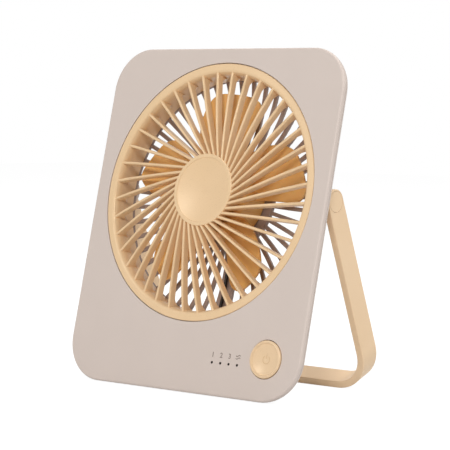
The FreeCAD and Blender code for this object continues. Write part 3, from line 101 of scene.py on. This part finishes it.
def two_tones(tree, fac, colour, shade, low=0.35, high=0.65):
    """A ramp from one colour to a near one."""
    tone = add_node(tree, "ShaderNodeValToRGB", links={"Fac": fac})
    tone.color_ramp.elements[0].position = low
    tone.color_ramp.elements[0].color = linear(colour)
    tone.color_ramp.elements[1].position = high
    tone.color_ramp.elements[1].color = linear(shade)
    return tone.outputs["Color"]


def socket_name(word):
    """The shader's name for a value: specular_ior_level is Specular IOR Level."""
    return word.replace("_", " ").title().replace("Ior", "IOR")


def grained(name, colour, shade, grain, relief, roughness, spread=0.04, drift=40, **surface):
    """A surface with a slow drift between two near colours, and an even grain in relief and in sheen.

    The grain and the drift are sizes in millimetres, the relief is a height in millimetres, and the spread
    is how far the roughness moves each way. More Principled values come by name.
    """
    material, tree = new_material(name)
    place = add_node(tree, "ShaderNodeTexCoord").outputs["Object"]
    cloud = add_node(tree, "ShaderNodeTexNoise", {"Scale": 1000 / drift, "Detail": 2.0}, {"Vector": place})
    pits = add_node(tree, "ShaderNodeTexNoise", {"Scale": 1000 / grain, "Detail": 1.0}, {"Vector": place})
    bump = add_node(tree, "ShaderNodeBump", {"Strength": 1.0, "Distance": relief / 1000},
                    {"Height": pits.outputs["Fac"]})
    sheen = add_node(tree, "ShaderNodeMapRange", {"To Min": roughness - spread, "To Max": roughness + spread},
                     {"Value": pits.outputs["Fac"]})
    tone = two_tones(tree, cloud.outputs["Fac"], colour, shade)
    links = {"Base Color": tone, "Roughness": sheen.outputs["Result"], "Normal": bump.outputs["Normal"]}
    values = {socket_name(word): number for word, number in surface.items()}
    skin = add_node(tree, "ShaderNodeBsdfPrincipled", values, links)
    add_node(tree, "ShaderNodeOutputMaterial", links={"Surface": skin.outputs["BSDF"]})
    return material


abs_ior = 1.53
casing_abs = grained("casing_abs_spark_eroded", "d8c9bf", "d6c7bd", grain=0.6, relief=0.006, roughness=0.5,
                     ior=abs_ior)
dress(["front_shell", "rear_shell"], casing_abs)

# The grille is one moulding of apricot ABS: ring, duct, forty vanes and the dished disc, with a satin skin
# that a polished tool gives. It is a slightly waxy plastic, so its sheen is warm rather than white.
apricot_sheen = (1.0, 0.85, 0.66, 1.0)
grille_abs = grained("grille_abs_satin", "f1cfa4", "eecca0", grain=0.7, relief=0.002, roughness=0.28,
                     spread=0.02, ior=abs_ior, specular_tint=apricot_sheen)
dress(["front_grille"], grille_abs)

# The rear guard is a round grid of ABS in the casing's taupe, held by the rear shell, with a satin skin. It
# stands in the shade of the duct, behind the impeller, so little light glances off it. That shade is painted:
# the colour is the taupe darkened into painted shade, and the sheen is turned down to match.
guard_abs_painted_shade = grained("guard_abs_satin_painted_shade", "a8948a", "a28e84", grain=0.6, relief=0.005, roughness=0.5,
                    ior=abs_ior, specular_ior_level=0.3)
dress(["rear_guard"], guard_abs_painted_shade)

# The impeller is one moulding of polypropylene in the grille's colour: hub and five thin hollow blades. Thin
# polypropylene lets a little light through, which makes the blades warmer than the vanes in front of them.
# The
# subsurface lets some light through, and the base colour is painted deeper and warmer than the grille's:
# painted shade from the vanes in front, and painted warmth of the light coming through.
blade_polypropylene_painted_shade = grained("blade_polypropylene_satin_painted_shade", "e6b46e", "e2af69", grain=1.2, relief=0.004,
                              roughness=0.34, ior=1.49, specular_tint=apricot_sheen, subsurface_weight=0.3,
                              subsurface_scale=0.002, subsurface_radius=(1.0, 0.7, 0.4))
dress(["impeller"], blade_polypropylene_painted_shade)

# The motor's base is moulded nylon, with a dry, slightly waxy skin. The motor's can is drawn sheet steel and
# its core is a stack of stamped sheets, seen as lines half a millimetre apart, round enamelled copper wire.
base_nylon = grained("base_nylon_moulded", "dcc7a2", "d8c39e", grain=0.8, relief=0.004, roughness=0.42,
                     ior=abs_ior)
dress(["motor_base"], base_nylon)
can_steel = grained("can_steel_drawn", "8f8f90", "8a8a8c", grain=1.5, relief=0.003, roughness=0.36,
                    metallic=1.0)
dress(["rotor_can"], can_steel)


def layered(name, colour, shade, pitch, axis, relief, roughness, **surface):
    """Thin layers or turns side by side across an axis: two tones and a rounded relief at an even pitch.

    The pitch and the relief are in millimetres.
    """
    material, tree = new_material(name)
    place = add_node(tree, "ShaderNodeTexCoord").outputs["Object"]
    along = add_node(tree, "ShaderNodeVectorMath", {1: axis}, {0: place}, operation="DOT_PRODUCT")
    phase = add_node(tree, "ShaderNodeMath", {1: 2000 * math.pi / pitch}, {0: along.outputs["Value"]},
                     operation="MULTIPLY")
    wave = add_node(tree, "ShaderNodeMath", links={0: phase.outputs[0]}, operation="SINE")
    height = add_node(tree, "ShaderNodeMapRange", {"From Min": -1.0, "From Max": 1.0},
                      {"Value": wave.outputs[0]})
    bump = add_node(tree, "ShaderNodeBump", {"Distance": relief / 1000}, {"Height": height.outputs["Result"]})
    tone = two_tones(tree, height.outputs["Result"], shade, colour, 0.1, 0.6)
    values = {"Roughness": roughness}
    values.update({socket_name(word): number for word, number in surface.items()})
    links = {"Base Color": tone, "Normal": bump.outputs["Normal"]}
    skin = add_node(tree, "ShaderNodeBsdfPrincipled", values, links)
    add_node(tree, "ShaderNodeOutputMaterial", links={"Surface": skin.outputs["BSDF"]})
    return material


fan_axis = Vector(joints["rotor_spin"]["axis"]).normalized()
core_steel = layered("core_steel_stamped_sheets", "77777a", "4a4a4d", pitch=0.5, axis=tuple(fan_axis),
                     relief=0.05, roughness=0.4, metallic=1.0)
dress(["motor_stator"], core_steel)
coil_copper = layered("coil_copper_enamelled", "c0713a", "7e4220", pitch=0.45, axis=tuple(fan_axis),
                      relief=0.12, roughness=0.28, metallic=1.0)
dress(["motor_coils"], coil_copper)
magnet_ferrite = grained("magnet_ferrite_pressed", "2a2a2c", "242426", grain=0.4, relief=0.01,
                         roughness=0.6, ior=2.0)
dress(["rotor_magnet"], magnet_ferrite)

# The shaft, its clip and the bearings are turned and ground steel, and the charging socket's shell is drawn
# and plated. All are bright, with hardly any grain.
bright_steel = grained("bright_steel_ground", "c4c4c2", "bebebd", grain=0.3, relief=0.001, roughness=0.22,
                       spread=0.03, metallic=1.0)
dress(["motor_shaft", "shaft_clip", "bearings", "usb_socket"], bright_steel)

# The screws and the hinge pins are steel with a thin zinc plating, which gives them a bluish grey bloom that
# drifts over a few millimetres.
zinc_steel = grained("zinc_plated_steel", "b9bab9", "adb0b2", grain=0.5, relief=0.003, roughness=0.32,
                     spread=0.06, drift=3.0, metallic=1.0)
dress(["shell_screws", "motor_screws", "board_screws", "pivot_pins"], zinc_steel)

# Circuit boards are glass epoxy under a green solder mask. Where copper runs under the mask it is lighter, in
# tracks about a millimetre wide. The boards carry the switch, the socket and four chip lamps of cast resin.
track_pitch = 3.5
mask_relief = 0.03


def solder_mask():
    """Green mask over copper tracks: the cells of a coarse square-edged pattern in two greens.

    The pitch of the tracks and the relief are in millimetres.
    """
    material, tree = new_material("board_epoxy_solder_mask")
    place = add_node(tree, "ShaderNodeTexCoord").outputs["Object"]
    cells = add_node(tree, "ShaderNodeTexVoronoi", {"Scale": 1000 / track_pitch, "Randomness": 0.6},
                     {"Vector": place}, feature="F1", distance="CHEBYCHEV")
    tone = two_tones(tree, cells.outputs["Distance"], "1f6b3c", "134d2b", 0.42, 0.5)
    bump = add_node(tree, "ShaderNodeBump", {"Distance": mask_relief / 1000},
                    {"Height": cells.outputs["Distance"]})
    skin = add_node(tree, "ShaderNodeBsdfPrincipled", {"Roughness": 0.25, "IOR": 1.55},
                    {"Base Color": tone, "Normal": bump.outputs["Normal"]})
    add_node(tree, "ShaderNodeOutputMaterial", links={"Surface": skin.outputs["BSDF"]})
    return material


dress(["motor_board", "main_board", "battery_board"], solder_mask())
lamp_resin = grained("lamp_resin_cast", "ece6cf", "e6dfc4", grain=0.8, relief=0.001, roughness=0.15,
                     ior=1.5)
dress(["indicator_leds"], lamp_resin)

# The motor's lead is a thin cable that lies along the guard's one wide rib. Its sleeve is extruded black
# vinyl, smooth with a soft sheen.
lead_sleeve = grained("lead_sleeve_extruded", "171616", "1c1b1b", grain=1.0, relief=0.003, roughness=0.42,
                      ior=1.5)
dress(["motor_lead"], lead_sleeve)

# The battery's cells are soft pouches of laminated foil, slightly dimpled by their folds, stuck to the rear
# shell with strips of pale foam tape that are cut from a sheet.
pouch_foil = grained("pouch_foil_laminated", "b8babd", "b0b2b6", grain=3.0, relief=0.12, roughness=0.34,
                     spread=0.05, metallic=1.0)
dress(["battery_cells"], pouch_foil)
tape_foam = grained("tape_foam_cut", "e6e6e1", "dcdcd6", grain=0.5, relief=0.08, roughness=0.9, ior=1.4)
dress(["battery_tape"], tape_foam)

# The feet are moulded rubber in a tone near the casing's, dull and a little rough. The switch, its plunger
# and the hinge's washers are small mouldings of dark nylon.
foot_rubber = grained("foot_rubber_moulded", "9c8f87", "968981", grain=0.8, relief=0.02, roughness=0.75,
                      ior=1.5)
dress(["rubber_feet"], foot_rubber)
dark_nylon = grained("dark_nylon_moulded", "1c1a19", "201e1d", grain=0.8, relief=0.006, roughness=0.4,
                     ior=abs_ior)
dress(["switch_plunger", "tact_switch", "friction_washers"], dark_nylon)

# The light guide is one moulding of smoked acrylic behind the face. Its four pin ends show there as brown
# dots that are nearly black while the lamps are off.
smoked_acrylic = grained("smoked_acrylic_moulded", "150c08", "1a100b", grain=1.0, relief=0.002,
                         roughness=0.5, ior=1.49, specular_ior_level=0.2)
dress(["light_guide"], smoked_acrylic)

# The stand is a U-shaped strap moulded in apricot ABS, a little paler than the grille, with flush caps over
# its pins. Its tool is spark-eroded as the casing's is, so its skin is drier than the grille's.
stand_abs = grained("stand_abs_fine_matt", "f3d5b0", "f0d1ab", grain=0.6, relief=0.006, roughness=0.46,
                    ior=abs_ior, specular_tint=apricot_sheen)
dress(["stand", "pivot_caps"], stand_abs)

# The button is moulded in the grille's apricot ABS. A faint mark for on and off is printed in its dish, a
# broken ring with a stroke through the break, in an ink only a little deeper than the plastic.
button_abs = grained("button_abs_satin", "f1d2ac", "eecfa8", grain=0.7, relief=0.002, roughness=0.28,
                     spread=0.02, ior=abs_ior, specular_tint=apricot_sheen)
dress(["power_button"], button_abs)


def corners_of(name):
    """A CAD node's vertices as an array of points."""
    mesh = nodes[name].data
    points = np.empty(3 * len(mesh.vertices))
    mesh.vertices.foreach_get("co", points)
    return points.reshape(-1, 3)


face_normal = np.array(fan_axis)
face_up = np.cross(face_normal, (1.0, 0.0, 0.0))
shell_points = corners_of("front_shell")
face_level = (shell_points @ face_normal).max()
face_foot = (shell_points @ face_up).min()


def on_face(across, up, lift):
    """Points on the panel: across from its middle, up from its lower edge, and proud of its face."""
    points = np.multiply.outer(across, (1.0, 0.0, 0.0)) + np.multiply.outer(face_foot + up, face_up)
    return points + np.multiply.outer(face_level + lift, face_normal)


def ribbon(middle, width):
    """A flat band along a path in the plane, half its width on each side of the path."""
    ahead = np.gradient(middle, axis=0)
    ahead /= np.linalg.norm(ahead, axis=1, keepdims=True)
    side = np.stack([-ahead[:, 1], ahead[:, 0]], axis=1) * width / 2
    return np.stack([middle - side, middle + side], axis=1)


def printed(name, bands, place_points, material, body):
    """Makes bands of ink one piece: each band is a strip of quads, two points wide."""
    points, faces, start = [], [], 0
    for band in bands:
        count = len(band)
        first = start + 2 * np.arange(count - 1)
        faces.append(np.stack([first, first + 1, first + 3, first + 2], axis=1))
        points.append(band.reshape(-1, 2))
        start += 2 * count
    flat = np.concatenate(points)
    mesh = bpy.data.meshes.new(name)
    mesh.from_pydata(place_points(flat).tolist(), [], np.concatenate(faces)[:, ::-1].tolist())
    piece = bpy.data.objects.new(name, mesh)
    bpy.context.scene.collection.objects.link(piece)
    mesh.materials.append(material)
    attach(piece, body)


button_points = corners_of("power_button")
button_across = (button_points[:, 0].max() + button_points[:, 0].min()) / 2
button_heights = button_points @ face_up - face_foot
button_up = (button_heights.max() + button_heights.min()) / 2
dish_radius = 0.0086
ink_lift = 0.00003
button_away = np.hypot(button_points[:, 0] - button_across, button_heights - button_up)
button_lifts = button_points @ face_normal - face_level
middle_patch = 0.0005
dish_middle = button_lifts[button_away < middle_patch].max()
bowl_depth = 0.001
mark_radius = 0.0023
mark_width = 0.00045
break_angle = 38.0
ring_points = 49
stroke_foot = 0.0006
stroke_top = 1.25 * mark_radius
stroke_points = 9


def in_dish(flat):
    """Points in the button's dish, a shallow bowl whose height grows with the square of the distance."""
    away = np.hypot(flat[:, 0], flat[:, 1])
    lift = dish_middle + bowl_depth * (away / dish_radius) ** 2 + ink_lift
    return on_face(button_across + flat[:, 0], button_up + flat[:, 1], lift)


turn = np.radians(np.linspace(90 + break_angle, 450 - break_angle, ring_points))
broken_ring = np.stack([mark_radius * np.cos(turn), mark_radius * np.sin(turn)], axis=1)
stroke = np.stack([np.zeros(stroke_points), np.linspace(stroke_foot, stroke_top, stroke_points)], axis=1)
button_ink = grained("button_ink_pad_printed", "e3c094", "dfbc8f", grain=0.5, relief=0.002, roughness=0.4,
                     ior=1.5, specular_tint=apricot_sheen)
printed("button_mark", [ribbon(broken_ring, mark_width), ribbon(stroke, mark_width)], in_dish, button_ink,
        "button")

# Four small marks stand over the indicators, pad-printed in a pale grey-brown ink: the speeds 1, 2 and 3, and
# two waves for a breeze that comes and goes. The ink is a few hundredths of a millimetre thick.
guide_points = corners_of("light_guide")
light_pitch = 0.00603
light_middle = (guide_points[:, 0].max() + guide_points[:, 0].min()) / 2
light_places = light_middle + light_pitch * (np.arange(4) - 1.5)
mark_up = 0.02305
mark_height = 0.0029
stroke_growth = 0.02
face_ink = grained("face_ink_pad_printed", "94847a", "8e7e74", grain=0.5, relief=0.002, roughness=0.55,
                   ior=1.5)


def digit(name, character, across):
    """A printed figure: the outline of a plain figure as a flat mesh, scaled to the mark's height."""
    outline = bpy.data.curves.new(name, "FONT")
    outline.body = character
    outline.offset = stroke_growth
    maker = bpy.data.objects.new(name + "_outline", outline)
    bpy.context.scene.collection.objects.link(maker)
    bpy.context.view_layer.update()
    mesh = bpy.data.meshes.new_from_object(maker.evaluated_get(bpy.context.evaluated_depsgraph_get()))
    bpy.data.objects.remove(maker)
    points = np.empty(3 * len(mesh.vertices))
    mesh.vertices.foreach_get("co", points)
    flat = points.reshape(-1, 3)[:, :2]
    low, high = flat.min(axis=0), flat.max(axis=0)
    flat = (flat - (low + high) / 2) * mark_height / (high - low)[1]
    placed = on_face(across + flat[:, 0], mark_up + flat[:, 1], np.full(len(flat), ink_lift))
    mesh.vertices.foreach_set("co", placed.ravel())
    mesh.update()
    mesh.name = name
    piece = bpy.data.objects.new(name, mesh)
    bpy.context.scene.collection.objects.link(piece)
    mesh.materials.clear()
    mesh.materials.append(face_ink)
    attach(piece, "housing")


for character, across in zip("123", light_places):
    digit("speed_mark_" + character, character, across)

wave_half = 0.0016
wave_width = 0.0005
wave_height = 0.0004
wave_offset = 0.0007
wave_points = 25


def over_last_light(flat):
    """Points on the panel round the middle of the mark over the last indicator."""
    return on_face(light_places[-1] + flat[:, 0], mark_up + flat[:, 1], np.full(len(flat), ink_lift))


wave_run = np.linspace(-wave_half, wave_half, wave_points)
wave_rise = wave_height * np.sin(wave_run / wave_half * math.pi)
waves = [np.stack([wave_run, wave_rise + offset], axis=1) for offset in (-wave_offset, wave_offset)]
printed("breeze_mark", [ribbon(wave, wave_width) for wave in waves], over_last_light, face_ink,
        "housing")

# The studio is a white floor that keeps a faint shadow, a white surround and four soft lights: a large one
# from the upper right of the front, weaker ones from the right side and the left, and one from above, behind
# the panel, for the stand.
floor_size = 6.0
floor_white = (0.75, 0.75, 0.75, 1.0)
plain_white = (1.0, 1.0, 1.0, 1.0)
shadow_share = 0.25
surround_light = 0.32
floor_glow = 0.9
fan_middle = (0.0, 0.0, 0.1)


def seen_directly(tree):
    """One for camera, glossy and transmitted rays, which see the studio as plain white."""
    ray = add_node(tree, "ShaderNodeLightPath")
    seen = ray.outputs["Is Camera Ray"]
    for kind in ("Is Glossy Ray", "Is Transmission Ray"):
        links = {0: seen, 1: ray.outputs[kind]}
        seen = add_node(tree, "ShaderNodeMath", links=links, operation="MAXIMUM").outputs[0]
    return seen


bpy.ops.mesh.primitive_plane_add(size=floor_size)
floor = bpy.context.object
floor.name = "studio_floor"
material, tree = new_material("studio_floor_white")
paint = add_node(tree, "ShaderNodeBsdfDiffuse", {"Color": floor_white})
glow = add_node(tree, "ShaderNodeEmission", {"Color": plain_white, "Strength": floor_glow})
lit = add_node(tree, "ShaderNodeBsdfDiffuse", {"Color": (shadow_share, shadow_share, shadow_share, 1.0)})
bright = add_node(tree, "ShaderNodeAddShader", links={0: glow.outputs[0], 1: lit.outputs[0]})
choice = add_node(tree, "ShaderNodeMixShader", links={0: seen_directly(tree), 1: paint.outputs[0],
                                                      2: bright.outputs[0]})
add_node(tree, "ShaderNodeOutputMaterial", links={"Surface": choice.outputs[0]})
floor.data.materials.append(material)

world = bpy.data.worlds.new("studio_surround")
world.use_nodes = True
bpy.context.scene.world = world
tree = world.node_tree
tree.nodes.clear()
strength = add_node(tree, "ShaderNodeMapRange", {"To Min": surround_light, "To Max": 1.0},
                    {"Value": seen_directly(tree)})
surround = add_node(tree, "ShaderNodeBackground", {"Color": plain_white}, {"Strength": strength.outputs[0]})
add_node(tree, "ShaderNodeOutputWorld", links={"Surface": surround.outputs[0]})


def softbox(name, place, size, watts):
    """A square area light that points at the fan's middle."""
    light = bpy.data.lights.new(name, "AREA")
    light.shape = "SQUARE"
    light.size = size
    light.energy = watts
    lamp = bpy.data.objects.new(name, light)
    lamp.location = place
    aim = Vector(fan_middle) - Vector(place)
    lamp.rotation_euler = aim.to_track_quat("-Z", "Y").to_euler()
    bpy.context.scene.collection.objects.link(lamp)


softbox("key_light", place=(1.3, -2.3, 1.7), size=0.7, watts=32.0)
softbox("side_light", place=(1.5, 0.35, 1.15), size=0.6, watts=7.5)
softbox("fill_light", place=(-0.8, -1.5, 1.05), size=0.45, watts=5.5)
softbox("top_light", place=(0.3, 0.55, 1.9), size=0.6, watts=12.0)

bpy.context.scene.view_settings.view_transform = "Standard"
